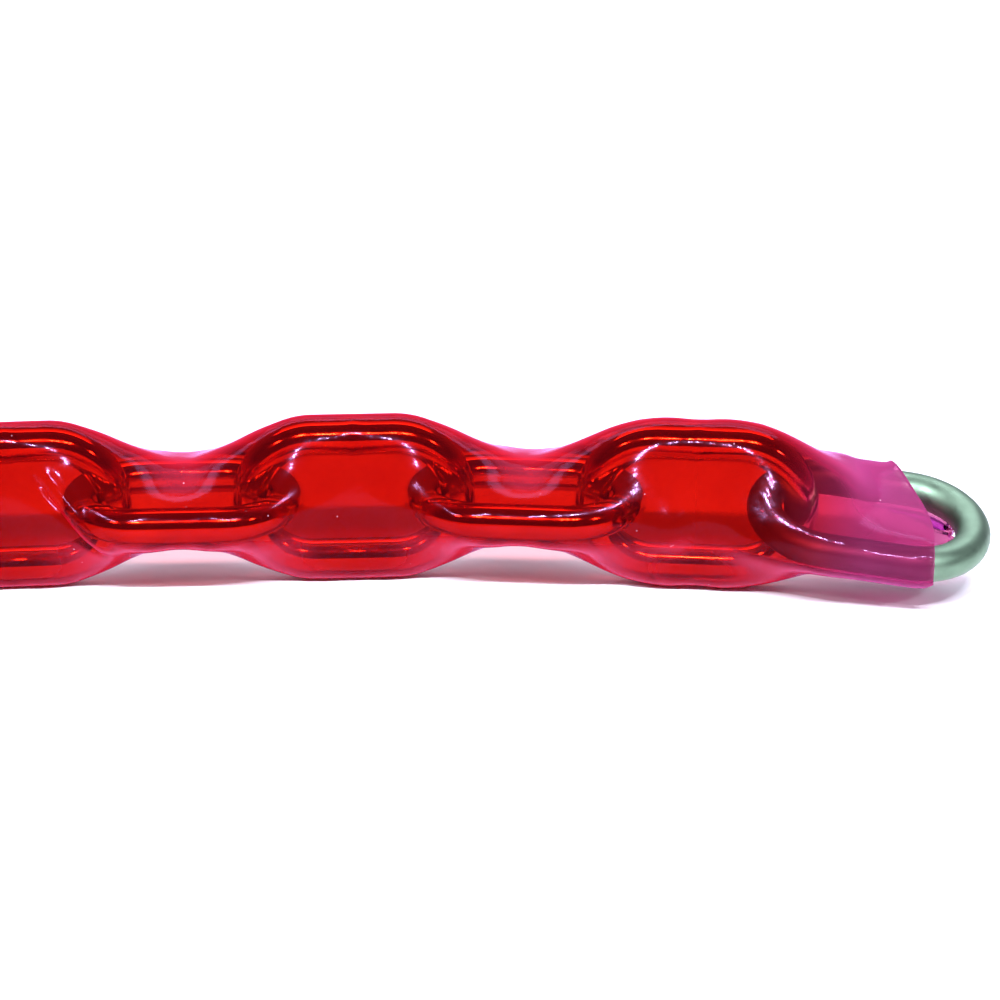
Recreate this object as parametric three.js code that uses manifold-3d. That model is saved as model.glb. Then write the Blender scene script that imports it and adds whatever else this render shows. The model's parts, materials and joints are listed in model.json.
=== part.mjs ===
// Chain lock: a steel chain in a clear red PVC sleeve, laid in a gentle bow, with a push-in lock on one end.
//
// Millimetres. +X runs along the chain from the lock to the free end link, +Y is the far side and +Z is
// up. The origin is on the surface that the lock stands on, under the middle of the whole. Links are
// numbered from the free end. Odd links lie flat and even links stand upright.

import * as THREE from "three";
import { mergeVertices } from "three/addons/utils/BufferGeometryUtils.js";
import Module from "manifold-3d";

const wasm = await Module();
wasm.setup();

// Chain
const LINK_COUNT = 13;
const ROD = 8; // wire diameter
const PITCH = 39; // from one link's centre to the next
const LINK_WIDTH = 37; // over the outside
const PLAY = 0.2; // at each end of a link's opening

// Sleeve
const WALL = 1;
const SLEEVE_GAP = 0.5; // between the wire and the inside of the wall
const SECTION_GAP = 0.3; // between one link's stretch of sleeve and the next
const BULGE_FLAT = 0.3; // share of the pitch over which a bulge keeps its full size

// How the chain lies: each upright link and the flat link behind it share one heading, in degrees to
// the left of +X. The first is the free end link's and the last is that of the links next to the lock.
const HEADINGS = [-6, -5, 3, 5, 1, -4, 0].map((degrees) => THREE.MathUtils.degToRad(degrees));
const TURN_HALF = 8; // the sleeve turns over this far on each side of the wire that the links turn on

// The free end link hangs a little down and turned in the loose mouth of the sleeve
const END_DROOP = THREE.MathUtils.degToRad(6.5);
const END_ROLL = THREE.MathUtils.degToRad(12);
const MOUTH_DROOP = THREE.MathUtils.degToRad(5.2);
const MOUTH_AT = 10; // middle of the cut edge, from the end link's centre
const MOUTH_SLANT = 0.233; // how much further the near side reaches, per mm of width
const MOUTH_LOOSE = 0.9; // extra room round the wire at the mouth

// Lock
const CASE = { length: 68, width: 52, height: 50, corner: 10, bevel: 2 };
const CASE_PAST_LINK = 2; // the case's face stands this far past the anchored link's centre
const SLOT_HEIGHT = ROD + 1.2;
const ANCHOR_SLOT = { width: 45, depth: 31.5 };
const ENTRY_SLOT = { width: 39, depth: 30 };
const SLEEVE_FROM_ANCHOR = 6.5; // the sleeve starts this far past the anchored link's centre
const BOLT_DEPTH = 14; // bolt's axis, from the entry face
const BOLT_RADIUS = 4.4;
const BOLT_TIP = 25; // height of the bolt's tip when the lock is open
const BOLT_TRAVEL = 12;
const PLUNGER = { radius: 8.1, bottom: 42, top: 64 };
const PLUG = { radius: 4.9, bottom: 49.5, top: 63.5 };
const CAM = { long: 5, short: 3.2, bottom: 46.3, top: 49.2 };
const CATCH = { width: 3, inner: 3.5, outer: 7.8, bottom: 46.4, top: 49.3, travel: 1.9 };
const KEY = { thick: 1.6, wide: 6.2, tip: 52, shoulder: 66, lip: 1.5, tangLength: 8 };
const KEY_CUTS = { first: 2.5, apart: 3.4, wide: 1.6, depths: [1, 2.2, 1.6] };
const BOW = { width: 22, height: 24, thick: 5, corner: 7, hole: 3.5, rim: 3 };
const SPRING = { radius: 6.2, wire: 0.6, turns: 5, bottom: 27, top: 41, stepsPerTurn: 12, wireSteps: 3 };
const STOP_PIN = { radius: 1.5, height: 45.9, tip: 6.9 };
const ANCHOR_PIN = { top: 33, headroom: 0.5 };
const COVER = { length: 28, width: 20, thick: 2.7 };
const SCREW = { head: 2.6, shank: 1.5, length: 8, offset: 10, socket: 1.3, socketDepth: 1.6 };
const CLEAR = 0.3; // between pieces that touch
const OVERLAP = 1; // how far joined shapes, and cuts and the face that they start from, run into each other

// Facets
const ROD_SIDES = 8;
const BEND_STEPS = 6; // along each of a link's two round ends
const SLEEVE_SIDES = 16;
const ROUND_SIDES = 24;
const SMALL_SIDES = 12;
const HEX_SIDES = 6;
const CORNER_STEPS = 5; // along each rounded corner
const SAME_POINT = 1e-4; // corners nearer than this are one

// Worked out
const ROD_RADIUS = ROD / 2;
const BEND_RADIUS = (LINK_WIDTH - ROD) / 2; // to the middle of the wire
const END_ROD_AT = PITCH / 2 + PLAY + ROD_RADIUS; // wire's middle at a link's end, from its centre
const LEG_HALF = END_ROD_AT - BEND_RADIUS; // half the straight part of a side
const INNER_RADIUS = ROD_RADIUS + SLEEVE_GAP;
const OUTER_RADIUS = INNER_RADIUS + WALL;
const AXIS_HEIGHT = BEND_RADIUS + OUTER_RADIUS;
const SECTION_HALF = (PITCH - SECTION_GAP) / 2;
const ANCHOR_X = linkCentre(LINK_COUNT) - END_ROD_AT + ROD + 2 * PLAY;
const CASE_RIGHT = linkCentre(LINK_COUNT) + CASE_PAST_LINK;
const CASE_LEFT = CASE_RIGHT - CASE.length;
const BOLT_X = CASE_LEFT + BOLT_DEPTH;

const zinc = metal(0xc3d3c6, 0.28);
const nickel = metal(0xb9bbbd, 0.35);
const chrome = metal(0xd8dadc, 0.12);
const brass = metal(0xb89650, 0.3);
const springSteel = metal(0x8d9094, 0.4);
const blackPlastic = new THREE.MeshStandardMaterial({ color: 0x17181a, roughness: 0.5, metalness: 0 });
const redPvc = new THREE.MeshStandardMaterial({
  color: 0xc80f14,
  roughness: 0.12,
  metalness: 0,
  transparent: true,
  opacity: 0.75,
});

function metal(color, roughness) {
  return new THREE.MeshStandardMaterial({ color, roughness, metalness: 1 });
}

function linkCentre(number) {
  return (1 - number) * PITCH;
}

function isUpright(number) {
  return number % 2 === 0;
}

function twoDigits(number) {
  return String(number).padStart(2, "0");
}

function named(name, geometry, material) {
  const mesh = new THREE.Mesh(geometry, material);
  mesh.name = name;
  return mesh;
}

// ---- The chain's bow ----

// Which entry of HEADINGS a link has.
function blockOf(number) {
  return Math.floor(number / 2);
}

// The wire that a block turns on is the far end of the upright link before it, here on the straight chain.
function turnPoint(block) {
  return linkCentre(2 * (block + 1)) + END_ROD_AT;
}

function swung(from, along, across, heading) {
  const point = new THREE.Vector2(along, across).rotateAround(new THREE.Vector2(), heading);
  return point.add(from);
}

// Where a point of the straight chain goes if it keeps to one block.
function placed(block, x, y) {
  if (block >= HEADINGS.length - 1) return new THREE.Vector2(x, y);
  const pivot = placed(block + 1, turnPoint(block), 0);
  return swung(pivot, x - turnPoint(block), y, HEADINGS[block]);
}

// Where a point of the sleeve goes, which turns smoothly from one block to the next.
function bowed(x, y) {
  let block = HEADINGS.length - 1;
  while (block > 0 && x > turnPoint(block - 1) - TURN_HALF) block -= 1;
  if (block >= HEADINGS.length - 1) return new THREE.Vector2(x, y);
  const past = x - turnPoint(block);
  const turned = THREE.MathUtils.smoothstep(past, -TURN_HALF, TURN_HALF);
  const heading = THREE.MathUtils.lerp(HEADINGS[block + 1], HEADINGS[block], turned);
  return swung(placed(block + 1, turnPoint(block), 0), past, y, heading);
}

// ---- Joining and cutting ----

function solid(geometry) {
  const bare = geometry.clone();
  bare.deleteAttribute("normal");
  bare.deleteAttribute("uv");
  const merged = mergeVertices(bare, SAME_POINT);
  const vertProperties = new Float32Array(merged.attributes.position.array);
  const triVerts = new Uint32Array(merged.index.array);
  return new wasm.Manifold(new wasm.Mesh({ numProp: 3, vertProperties, triVerts }));
}

function geometryOf(body) {
  const mesh = body.getMesh();
  const geometry = new THREE.BufferGeometry();
  geometry.setAttribute("position", new THREE.Float32BufferAttribute(mesh.vertProperties, 3));
  geometry.setIndex(Array.from(mesh.triVerts));
  geometry.computeVertexNormals();
  return geometry;
}

function cut(geometry, ...tools) {
  const body = tools.reduce((rest, tool) => rest.subtract(solid(tool)), solid(geometry));
  return geometryOf(body);
}

function join(geometry, ...others) {
  const body = others.reduce((whole, other) => whole.add(solid(other)), solid(geometry));
  return geometryOf(body);
}

// ---- Plain shapes, given by where they stand ----

function block(x, y, z) {
  const size = [x, y, z].map(([low, high]) => high - low);
  const middle = [x, y, z].map(([low, high]) => (low + high) / 2);
  return new THREE.BoxGeometry(...size).translate(...middle);
}

// An upright cylinder or cone.
function post(x, y, bottom, top, radius, topRadius = radius, sides = ROUND_SIDES) {
  const geometry = new THREE.CylinderGeometry(topRadius, radius, top - bottom, sides);
  return geometry.rotateX(Math.PI / 2).translate(x, y, (bottom + top) / 2);
}

function roundedRectangle(width, height, corner) {
  const shape = new THREE.Shape();
  const x = width / 2 - corner;
  const y = height / 2 - corner;
  shape.absarc(x, y, corner, 0, Math.PI / 2);
  shape.absarc(-x, y, corner, Math.PI / 2, Math.PI);
  shape.absarc(-x, -y, corner, Math.PI, 1.5 * Math.PI);
  shape.absarc(x, -y, corner, 1.5 * Math.PI, 2 * Math.PI);
  return shape;
}

function slab(shape, thick) {
  return new THREE.ExtrudeGeometry(shape, { depth: thick, bevelEnabled: false, curveSegments: CORNER_STEPS });
}

// A closed band of rings, each joined to the next and the last one to the first.
function skin(rings) {
  const sides = rings[0].length;
  const positions = rings.flat().flatMap((point) => [point.x, point.y, point.z]);
  const indices = [];
  rings.forEach((ring, row) => {
    const next = (row + 1) % rings.length;
    for (let side = 0; side < sides; side++) {
      const turn = (side + 1) % sides;
      const a = row * sides + side;
      const b = row * sides + turn;
      const c = next * sides + turn;
      const d = next * sides + side;
      indices.push(a, b, c, a, c, d);
    }
  });
  const geometry = new THREE.BufferGeometry();
  geometry.setAttribute("position", new THREE.Float32BufferAttribute(positions, 3));
  geometry.setIndex(indices);
  geometry.computeVertexNormals();
  return geometry;
}

// ---- Links ----

function wireRing(middle, outward) {
  const ring = [];
  for (let side = 0; side < ROD_SIDES; side++) {
    const angle = (2 * Math.PI * side) / ROD_SIDES;
    const point = middle.clone().addScaledVector(outward, ROD_RADIUS * Math.cos(angle));
    point.z -= ROD_RADIUS * Math.sin(angle);
    ring.push(point);
  }
  return ring;
}

// Round wire along a loop with two half-round ends, lying flat with its centre at the origin.
function linkGeometry() {
  const rings = [];
  for (const end of [1, -1]) {
    for (let step = 0; step <= BEND_STEPS; step++) {
      const angle = Math.PI * (step / BEND_STEPS - 0.5) + (end < 0 ? Math.PI : 0);
      const outward = new THREE.Vector3(Math.cos(angle), Math.sin(angle), 0);
      const middle = new THREE.Vector3(end * LEG_HALF, 0, 0).addScaledVector(outward, BEND_RADIUS);
      rings.push(wireRing(middle, outward));
    }
  }
  return skin(rings);
}

const flatLink = linkGeometry();

function makeLink(number) {
  const mesh = named(`link_${twoDigits(number)}`, flatLink, zinc);
  mesh.rotation.x = isUpright(number) ? Math.PI / 2 : 0;
  const centre = placed(blockOf(number), linkCentre(number), 0);
  const holder = new THREE.Group();
  holder.position.set(centre.x, centre.y, AXIS_HEIGHT);
  holder.rotation.z = HEADINGS[blockOf(number)];
  holder.add(mesh);
  return holder;
}

// The end link hangs from its own inner end, tipped down and turned.
function makeEndLink() {
  const mesh = named("link_01", flatLink, zinc);
  mesh.position.x = END_ROD_AT;
  mesh.rotation.x = END_ROLL;
  const inner = placed(0, linkCentre(1) - END_ROD_AT, 0);
  const hanger = new THREE.Group();
  hanger.position.set(inner.x, inner.y, AXIS_HEIGHT);
  hanger.rotation.set(0, END_DROOP, HEADINGS[0], "ZYX");
  hanger.add(mesh);
  return hanger;
}

// ---- Sleeve ----

// Where the sleeve holds a link's two sides apart, half the distance between them.
function spread(number, x) {
  const steps = Math.abs(x - linkCentre(number)) / PITCH;
  return BEND_RADIUS * (1 - THREE.MathUtils.smoothstep(steps, BULGE_FLAT, 1));
}

// The middles of the wires that the sleeve is stretched round, where it crosses the plane x.
function wiresAt(x) {
  const wires = [];
  for (let number = 1; number <= LINK_COUNT; number++) {
    const half = spread(number, x);
    if (half <= 0) continue;
    const lean = isUpright(number) ? Math.PI / 2 : number === 1 ? END_ROLL : 0;
    for (const side of [1, -1]) {
      wires.push(new THREE.Vector2(side * half * Math.cos(lean), side * half * Math.sin(lean)));
    }
  }
  return wires;
}

// From 0 at the end link's inner end to 1 at the mouth.
function towardsMouth(x) {
  return THREE.MathUtils.clamp((x - linkCentre(1) + END_ROD_AT) / (MOUTH_AT + END_ROD_AT), 0, 1);
}

function sleeveRing(x, radius, slant) {
  const wires = wiresAt(x);
  const reach = (radius + MOUTH_LOOSE * towardsMouth(x)) / Math.cos(Math.PI / SLEEVE_SIDES);
  const drop = towardsMouth(x) * (MOUTH_AT + END_ROD_AT) * Math.tan(MOUTH_DROOP);
  const ring = [];
  for (let side = 0; side < SLEEVE_SIDES; side++) {
    const angle = (2 * Math.PI * (side + 0.5)) / SLEEVE_SIDES;
    const normal = new THREE.Vector2(Math.cos(angle), Math.sin(angle));
    const furthest = wires.reduce((best, wire) => (wire.dot(normal) > best.dot(normal) ? wire : best));
    const point = furthest.clone().addScaledVector(normal, reach);
    const plan = bowed(x - slant * point.x, point.x);
    ring.push(new THREE.Vector3(plan.x, plan.y, AXIS_HEIGHT - drop + point.y));
  }
  return ring;
}

// The outside on the way out, and the inside on the way back. The last station may be cut on a slant.
function sleeveGeometry(stations, lastSlant) {
  const slants = stations.map((_, index) => (index === stations.length - 1 ? lastSlant : 0));
  const outside = stations.map((x, index) => sleeveRing(x, OUTER_RADIUS, slants[index]));
  const inside = stations.map((x, index) => sleeveRing(x, INNER_RADIUS, slants[index]));
  return skin([...outside, ...inside.reverse()]);
}

// Distances from a link's centre at which the sleeve's outline changes.
const STATIONS = [11, 15.3, SECTION_HALF];

function makeSleeve(number) {
  const centre = linkCentre(number);
  const before = STATIONS.map((step) => centre - step).reverse();
  const after = STATIONS.map((step) => centre + step);
  let stations = [...before, ...after];
  if (number === 1) stations = [...before, centre, centre + MOUTH_AT];
  if (number === LINK_COUNT) stations = [centre + SLEEVE_FROM_ANCHOR, ...after];
  const geometry = sleeveGeometry(stations, number === 1 ? MOUTH_SLANT : 0);
  return named(`sleeve_${twoDigits(number)}`, geometry, redPvc);
}

// ---- Lock ----

function screwHole(side, bottom, top, radius) {
  return post(ANCHOR_X + side * SCREW.offset, 0, bottom, top, radius + CLEAR, undefined, SMALL_SIDES);
}

function makeCase() {
  const { length, width, height, corner, bevel } = CASE;
  const outline = roundedRectangle(length - 2 * bevel, width - 2 * bevel, corner - bevel);
  const blank = new THREE.ExtrudeGeometry(outline, {
    depth: height - 2 * bevel,
    bevelThickness: bevel,
    bevelSize: bevel,
    bevelSegments: 2,
    curveSegments: CORNER_STEPS,
  }).translate(CASE_LEFT + length / 2, 0, bevel);
  const past = 5; // how far a cutting shape stands out of the face that it cuts
  const slotZ = [AXIS_HEIGHT - SLOT_HEIGHT / 2, AXIS_HEIGHT + SLOT_HEIGHT / 2];
  const anchorSlot = block(
    [CASE_RIGHT - ANCHOR_SLOT.depth, CASE_RIGHT + past],
    [-ANCHOR_SLOT.width / 2, ANCHOR_SLOT.width / 2],
    slotZ,
  );
  const entrySlot = block(
    [CASE_LEFT - past, CASE_LEFT + ENTRY_SLOT.depth],
    [-ENTRY_SLOT.width / 2, ENTRY_SLOT.width / 2],
    slotZ,
  );
  const anchorBore = post(ANCHOR_X, 0, OVERLAP, ANCHOR_PIN.top + ANCHOR_PIN.headroom, ROD_RADIUS + CLEAR);
  const boltBore = post(BOLT_X, 0, BOLT_TIP - BOLT_TRAVEL - OVERLAP, SPRING.bottom, BOLT_RADIUS + CLEAR);
  const plungerBore = post(BOLT_X, 0, SPRING.bottom - 2 * CLEAR, height + past, PLUNGER.radius + CLEAR);
  const pockets = [0, BOLT_TRAVEL].map((down) =>
    block(
      [BOLT_X + PLUNGER.radius - OVERLAP, BOLT_X + CATCH.outer + CATCH.travel + 2 * CLEAR],
      [-CATCH.width / 2 - CLEAR, CATCH.width / 2 + CLEAR],
      [CATCH.bottom - down - CLEAR, CATCH.top - down + CLEAR],
    ),
  );
  const pinBore = new THREE.CylinderGeometry(
    STOP_PIN.radius + CLEAR,
    STOP_PIN.radius + CLEAR,
    width / 2 + past,
    SMALL_SIDES,
  ).translate(BOLT_X, PLUNGER.radius - OVERLAP + (width / 2 + past) / 2, STOP_PIN.height);
  const recess = block(
    [ANCHOR_X - COVER.length / 2 - CLEAR, ANCHOR_X + COVER.length / 2 + CLEAR],
    [-COVER.width / 2 - CLEAR, COVER.width / 2 + CLEAR],
    [-past, COVER.thick + CLEAR],
  );
  const screwBores = [-1, 1].map((side) =>
    screwHole(side, OVERLAP, SCREW.length + OVERLAP, SCREW.shank),
  );
  const tools = [anchorSlot, entrySlot, anchorBore, boltBore, plungerBore, pinBore, recess];
  return named("lock_case", cut(blank, ...tools, ...pockets, ...screwBores), nickel);
}

function makeCover() {
  const plate = block(
    [ANCHOR_X - COVER.length / 2, ANCHOR_X + COVER.length / 2],
    [-COVER.width / 2, COVER.width / 2],
    [0, COVER.thick],
  );
  const holes = [-1, 1].map((side) =>
    screwHole(side, -OVERLAP, COVER.thick + OVERLAP, SCREW.head),
  );
  return named("base_cover", cut(plate, ...holes), nickel);
}

function makeScrew(side, name) {
  const x = ANCHOR_X + side * SCREW.offset;
  const head = post(x, 0, CLEAR, COVER.thick, SCREW.head, undefined, SMALL_SIDES);
  const shank = post(x, 0, COVER.thick - OVERLAP, SCREW.length, SCREW.shank, undefined, SMALL_SIDES);
  const drive = post(x, 0, -OVERLAP, SCREW.socketDepth, SCREW.socket, undefined, HEX_SIDES);
  return named(name, geometryOf(solid(head).add(solid(shank)).subtract(solid(drive))), springSteel);
}

function makeAnchorPin() {
  const bottom = COVER.thick + 2 * CLEAR;
  return named("anchor_pin", post(ANCHOR_X, 0, bottom, ANCHOR_PIN.top, ROD_RADIUS), nickel);
}

function makeStopPin() {
  const { radius, tip, height } = STOP_PIN;
  const length = CASE.width / 2 - CLEAR - tip;
  const geometry = new THREE.CylinderGeometry(radius, radius, length, SMALL_SIDES);
  return named("stop_pin", geometry.translate(BOLT_X, tip + length / 2, height), springSteel);
}

function makePlunger() {
  const { radius, bottom, top } = PLUNGER;
  const edge = 1;
  const body = join(
    post(BOLT_X, 0, bottom, top - edge, radius),
    post(BOLT_X, 0, top - edge, top, radius, radius - edge),
  );
  const plugBore = post(BOLT_X, 0, CAM.bottom - CLEAR, top + OVERLAP, PLUG.radius + CLEAR);
  const catchHole = block(
    [BOLT_X, BOLT_X + radius + OVERLAP],
    [-CATCH.width / 2 - CLEAR, CATCH.width / 2 + CLEAR],
    [CATCH.bottom - CLEAR, CATCH.top + CLEAR],
  );
  const groove = block(
    [BOLT_X - STOP_PIN.radius - CLEAR, BOLT_X + STOP_PIN.radius + CLEAR],
    [STOP_PIN.tip - CLEAR, radius + OVERLAP],
    [
      STOP_PIN.height - STOP_PIN.radius - CLEAR,
      STOP_PIN.height + STOP_PIN.radius + BOLT_TRAVEL + CLEAR,
    ],
  );
  return named("plunger", cut(body, plugBore, catchHole, groove), chrome);
}

function makeBolt() {
  const taper = 1.5;
  const top = PLUNGER.bottom - CLEAR;
  const geometry = join(
    post(BOLT_X, 0, BOLT_TIP, BOLT_TIP + taper, BOLT_RADIUS - taper, BOLT_RADIUS),
    post(BOLT_X, 0, BOLT_TIP + taper, top, BOLT_RADIUS),
  );
  return named("bolt", geometry, chrome);
}

class Helix extends THREE.Curve {
  getPoint(share, target = new THREE.Vector3()) {
    const angle = share * SPRING.turns * 2 * Math.PI;
    const height = SPRING.top - SPRING.bottom - 2 * SPRING.wire;
    return target.set(
      BOLT_X + SPRING.radius * Math.cos(angle),
      SPRING.radius * Math.sin(angle),
      SPRING.bottom + SPRING.wire + share * height,
    );
  }
}

function makeSpring() {
  const section = new THREE.Shape().absarc(0, 0, SPRING.wire, 0, 2 * Math.PI);
  const geometry = new THREE.ExtrudeGeometry(section, {
    steps: SPRING.turns * SPRING.stepsPerTurn,
    extrudePath: new Helix(),
    curveSegments: SPRING.wireSteps,
  });
  return named("bolt_spring", geometryOf(solid(geometry)), springSteel);
}

function makePlug() {
  const keyway = block(
    [BOLT_X - KEY.thick / 2 - CLEAR, BOLT_X + KEY.thick / 2 + CLEAR],
    [-KEY.wide / 2 - CLEAR, KEY.wide / 2 + CLEAR],
    [KEY.tip - CLEAR, PLUG.top + OVERLAP],
  );
  return named("key_plug", cut(post(BOLT_X, 0, PLUG.bottom, PLUG.top, PLUG.radius), keyway), brass);
}

// The cam's long radius points to the far side until the key turns it against the catch.
function makeCam() {
  const shape = new THREE.Shape();
  shape.absellipse(0, 0, CAM.short, CAM.long, 0, 2 * Math.PI);
  const geometry = slab(shape, CAM.top - CAM.bottom).translate(BOLT_X, 0, CAM.bottom);
  return named("plug_cam", geometry, brass);
}

function makeCatch() {
  const geometry = block(
    [BOLT_X + CATCH.inner, BOLT_X + CATCH.outer],
    [-CATCH.width / 2, CATCH.width / 2],
    [CATCH.bottom, CATCH.top],
  );
  return named("catch", geometry, springSteel);
}

// The blade, with three cuts along its near edge, and a wider shoulder that the head grips.
function makeKeyBlade() {
  const { thick, wide, tip, shoulder, lip, tangLength } = KEY;
  const x = [BOLT_X - thick / 2, BOLT_X + thick / 2];
  const blade = block(x, [-wide / 2, wide / 2], [tip, shoulder + OVERLAP]);
  const tang = block(x, [-wide / 2 - lip, wide / 2 + lip], [shoulder, shoulder + tangLength]);
  const cuts = KEY_CUTS.depths.map((depth, index) => {
    const height = tip + KEY_CUTS.first + KEY_CUTS.apart * index;
    return block(
      [BOLT_X - thick, BOLT_X + thick],
      [-wide, -wide / 2 + depth],
      [height, height + KEY_CUTS.wide],
    );
  });
  return named("key_blade", cut(join(blade, tang), ...cuts), nickel);
}

function makeKeyHead() {
  const { width, height, thick, corner, hole, rim } = BOW;
  const shape = roundedRectangle(width, height, corner);
  shape.holes.push(new THREE.Path().absarc(0, height / 2 - hole - rim, hole, 0, 2 * Math.PI, true));
  const bow = slab(shape, thick)
    .translate(0, 0, -thick / 2)
    .rotateX(Math.PI / 2)
    .rotateZ(Math.PI / 2)
    .translate(BOLT_X, 0, KEY.shoulder + OVERLAP + height / 2);
  const socket = block(
    [BOLT_X - KEY.thick / 2 - CLEAR, BOLT_X + KEY.thick / 2 + CLEAR],
    [-KEY.wide / 2 - KEY.lip - CLEAR, KEY.wide / 2 + KEY.lip + CLEAR],
    [KEY.shoulder - OVERLAP, KEY.shoulder + KEY.tangLength + CLEAR],
  );
  return named("key_head", cut(bow, socket), blackPlastic);
}

// ---- Assembly ----

const lock = new THREE.Group();
lock.add(makeCase(), makeCover(), makeScrew(-1, "cover_screw_left"), makeScrew(1, "cover_screw_right"));
lock.add(makeAnchorPin(), makeStopPin(), makePlunger(), makeBolt(), makeSpring());
lock.add(makePlug(), makeCam(), makeCatch(), makeKeyBlade(), makeKeyHead());

const chain = new THREE.Group();
chain.add(makeEndLink());
for (let number = 2; number <= LINK_COUNT; number++) chain.add(makeLink(number));
for (let number = 1; number <= LINK_COUNT; number++) chain.add(makeSleeve(number));

const group = new THREE.Group();
group.add(lock, chain);
const extent = new THREE.Box3().setFromObject(group, true);
group.position.set(-(extent.min.x + extent.max.x) / 2, -(extent.min.y + extent.max.y) / 2, 0);
group.updateMatrixWorld(true);

export default group;
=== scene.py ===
"""The looks of a chain lock: bright links in one clear red sleeve, and a push-in lock on the end.

The object's lengths are in millimetres until a mesh is made, which is in metres. The camera's distance, the
lamps and what the materials need are in metres. The chain is first laid out straight along x, with its links
numbered from the free end, and then bowed as the CAD model is.
"""

import json
import math

import bpy
import numpy as np
from mathutils import Matrix, Vector


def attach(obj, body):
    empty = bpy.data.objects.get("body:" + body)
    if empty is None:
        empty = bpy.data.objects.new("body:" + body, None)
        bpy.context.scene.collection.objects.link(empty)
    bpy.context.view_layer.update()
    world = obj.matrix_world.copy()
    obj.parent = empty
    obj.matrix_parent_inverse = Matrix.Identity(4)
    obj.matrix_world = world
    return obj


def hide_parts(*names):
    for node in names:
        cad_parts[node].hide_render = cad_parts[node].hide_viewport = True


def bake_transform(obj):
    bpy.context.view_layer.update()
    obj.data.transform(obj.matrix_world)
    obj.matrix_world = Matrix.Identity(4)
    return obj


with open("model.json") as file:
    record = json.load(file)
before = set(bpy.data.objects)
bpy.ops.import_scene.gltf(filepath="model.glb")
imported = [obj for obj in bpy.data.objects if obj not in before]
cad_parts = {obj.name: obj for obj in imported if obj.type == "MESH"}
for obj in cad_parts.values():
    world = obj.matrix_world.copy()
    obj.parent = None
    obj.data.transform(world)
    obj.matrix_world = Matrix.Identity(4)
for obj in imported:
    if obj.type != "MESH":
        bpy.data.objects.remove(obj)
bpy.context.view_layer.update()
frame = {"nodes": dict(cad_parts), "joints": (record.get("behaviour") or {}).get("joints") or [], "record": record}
joints = {joint["name"]: joint for joint in frame["joints"]}

MM = 0.001

# The chain, as in the CAD model
LINKS = 13
ROD = 8.0
PITCH = 39.0
LINK_WIDTH = 37.0
PLAY = 0.2
AXIS_HEIGHT = 20.0
HEADINGS = [math.radians(a) for a in (-6, -5, 3, 5, 1, -4, 0)]
TURN_HALF = 8.0  # the sleeve turns over this far on each side of the wire that the links turn on
END_DROOP = math.radians(6.5)
END_ROLL = math.radians(12)
BEND_RADIUS = (LINK_WIDTH - ROD) / 2
END_ROD_AT = PITCH / 2 + PLAY + ROD / 2
LEG_HALF = END_ROD_AT - BEND_RADIUS

# The sleeve
WALL = 1.0
INNER_RADIUS = 4.4
BULGE_FLAT = 0.3  # share of the pitch, on each side, over which a bulge keeps its full size
TOUCH = 0.36  # least gap between a link and the sleeve
MOUTH_DROOP = math.radians(5.2)
LOOSE_AT_LAST_BULGE = 0.6
NEARER_AT_LAST_BULGE = 2.0
LAST_BULGE_WIDTH = 20.0  # over which the looseness of the last bulge fades
LOOSE_AT_MOUTH = 0.1
LOOSE_FROM_END_LINK = (-18, 10)  # where the mouth's looseness starts and is complete
SLACK_BETWEEN_LINKS = 9.0  # how much more girth the sleeve keeps where two links cross
DRAPE = 1.15  # how many pitches from a link's middle the sleeve takes to come down to the next link
MOUTH_REACH = 14.4  # how far the near side of the cut reaches past the end link's centre
MOUTH_SLOPE = 0.40
CUT_FELT_FROM = -6.0  # where the rows start to lean toward the cut, from the end link's centre
LIP = 4.5  # how much further the ragged lip underneath reaches
LIP_BELOW = (2.0, 4.5)  # how far below the mouth's middle the lip starts and is complete
LIP_ACROSS = (-11, -3)  # where across the tube the lip starts and is complete
RAGS = ((0.7, 2.1, 0), (0.4, 5.3, 1))  # each wave of the lip's edge: height, turn per mm, start
RAGS_REACH = 1.2  # room for the waves in the rows along the sleeve
MOUTH_TILT = math.tan(END_ROLL)
MOUTH_DROP = 3.5  # how far the middle of the mouth hangs below the chain's axis
NICK = 2.5  # how much shorter the cut is at its near lower corner
NICK_ACROSS = (-14, -8)  # where across the tube the nick is complete and where it ends
MOUTH_CORNER = (-7.0, 5.0)  # where across the tube the cut turns, and how softly
SLEEVE_FROM_ANCHOR = 6.5  # the sleeve starts this far past the anchored link's centre
PINK_FROM_END_LINK = (-24, 2)  # where the sleeve starts to turn pinker and is as pink as it gets
STEP = 0.8
AROUND = 128
OUTLINE_STEPS = 720
EASING = (0.35, 0.45, 0.2)  # weights of a point, its neighbours along and its neighbours around
EASING_ROUNDS = 90
CLEARING_ROUNDS = 4
STRETCH_A_ROUND = 0.2  # most that a point moves out in a round while the tube regains its girth
NEAR_SIDE = 0.1  # a surface faces the near side where its outward direction has less of +Y than this
# Creases beside a link: the link, the line's two ends as (along, up) from its centre, and the depth
FOLDS = [(6, ((7.0, 9.5), (22.0, -7.0)), 0.75), (2, ((-10.0, -8.0), (-9.0, -16.0)), 0.3)]
GROOVE_WIDTH = 0.8
RIDGE = (0.7, 2.2, 1.5)  # beside the groove: its height for each mm of depth, its distance, its width
FOLD_FADE = ((-0.1, 0.15), (0.8, 1.1))  # shares of the line over which a crease begins and ends
# Where the near side of the last bulge is slack: along, up, width, height, how far it stands out
LOOSE_PLACES = [(0, -0.5, 13, 7, 2.6), (-6, -1.5, 4.5, 4.5, 1.8), (13, -4, 4.5, 4.5, 1.6)]


# ---- Layout ----


def anchor_centre():
    """The middle of the last link, which the anchor pin holds, in mm."""
    x, y, _ = joints["anchor_swing"]["pos_m"]
    return x / MM + END_ROD_AT - ROD - 2 * PLAY, y / MM


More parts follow.
